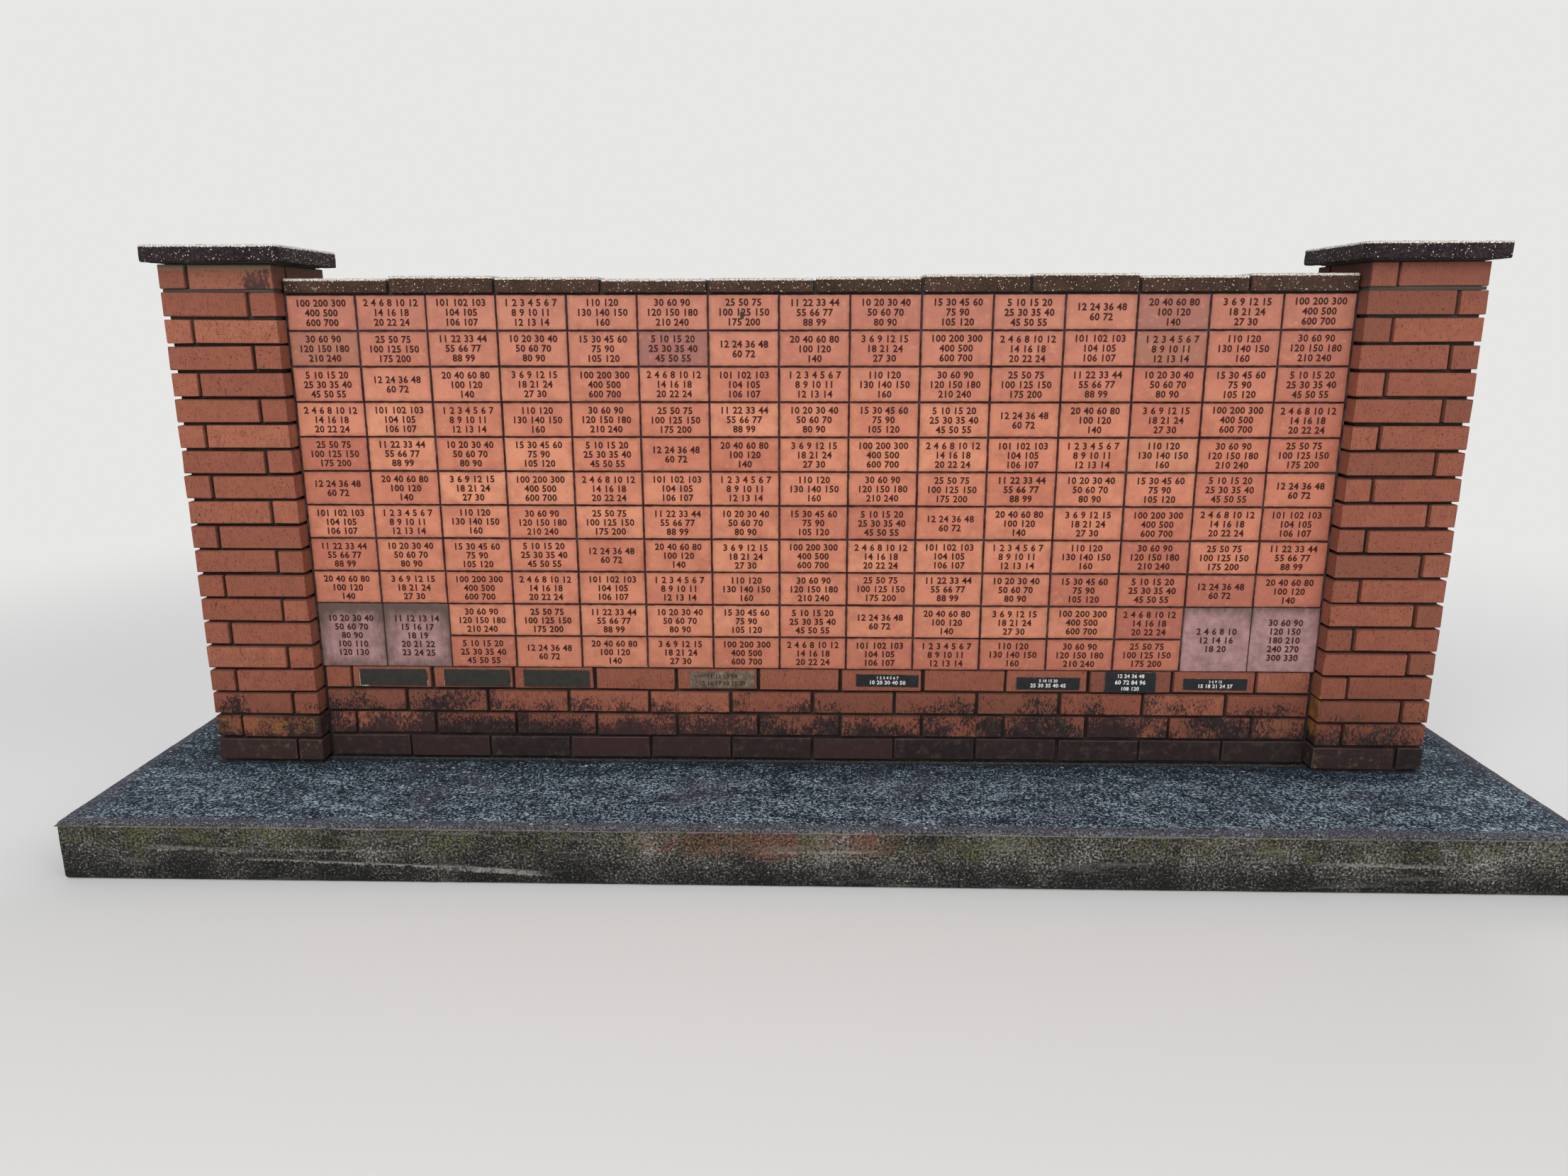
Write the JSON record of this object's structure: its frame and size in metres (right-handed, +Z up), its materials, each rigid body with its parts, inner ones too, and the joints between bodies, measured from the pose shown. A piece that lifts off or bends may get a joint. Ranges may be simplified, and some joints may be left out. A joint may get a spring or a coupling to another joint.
{
  "type": "brick garden wall",
  "caption": "Free-standing brick garden wall: a field of clay tablets in stack bond over running-bond courses, between capped square piers on a concrete plinth.",
  "frame": {"origin": "centre of the plinth's underside", "axes": "+Z up, +X along the wall to the right seen from the tablet side, +Y away from the viewer, front face towards -Y"},
  "size_m": [4.2668, 1.2218, 1.7578],
  "materials": {
    "cast_concrete": "rough, weathered, cast in board forms",
    "precast_concrete": "rough, weathered",
    "concrete_block": "rough",
    "facing_brick": "wire-cut, matte",
    "tablet_clay": "smooth, matte",
    "square_tablet_clay": "smooth, matte, grimy at the edges"
  },
  "bodies": {
    "root": {"plinth": "cast_concrete", "left_pier": "facing_brick", "right_pier": "facing_brick", "left_pier_cap": "precast_concrete", "right_pier_cap": "precast_concrete", "base_courses": "facing_brick", "block_core": "concrete_block", "back_courses": "facing_brick", "tablet_row_01": "tablet_clay", "tablet_row_02": "tablet_clay", "tablet_row_03": "tablet_clay", "tablet_row_04": "tablet_clay", "tablet_row_05": "tablet_clay", "tablet_row_06": "tablet_clay", "tablet_row_07": "tablet_clay", "tablet_row_08": "tablet_clay", "tablet_row_09": "tablet_clay", "tablet_row_10": "tablet_clay", "tablet_row_11": "tablet_clay", "left_square_tablets": "square_tablet_clay", "right_square_tablets": "square_tablet_clay", "coping_block_01": "precast_concrete", "coping_block_02": "precast_concrete", "coping_block_03": "precast_concrete", "coping_block_04": "precast_concrete", "coping_block_05": "precast_concrete", "coping_block_06": "precast_concrete", "coping_block_07": "precast_concrete", "coping_block_08": "precast_concrete", "coping_block_09": "precast_concrete", "coping_block_10": "precast_concrete"}
  },
  "joints": []
}
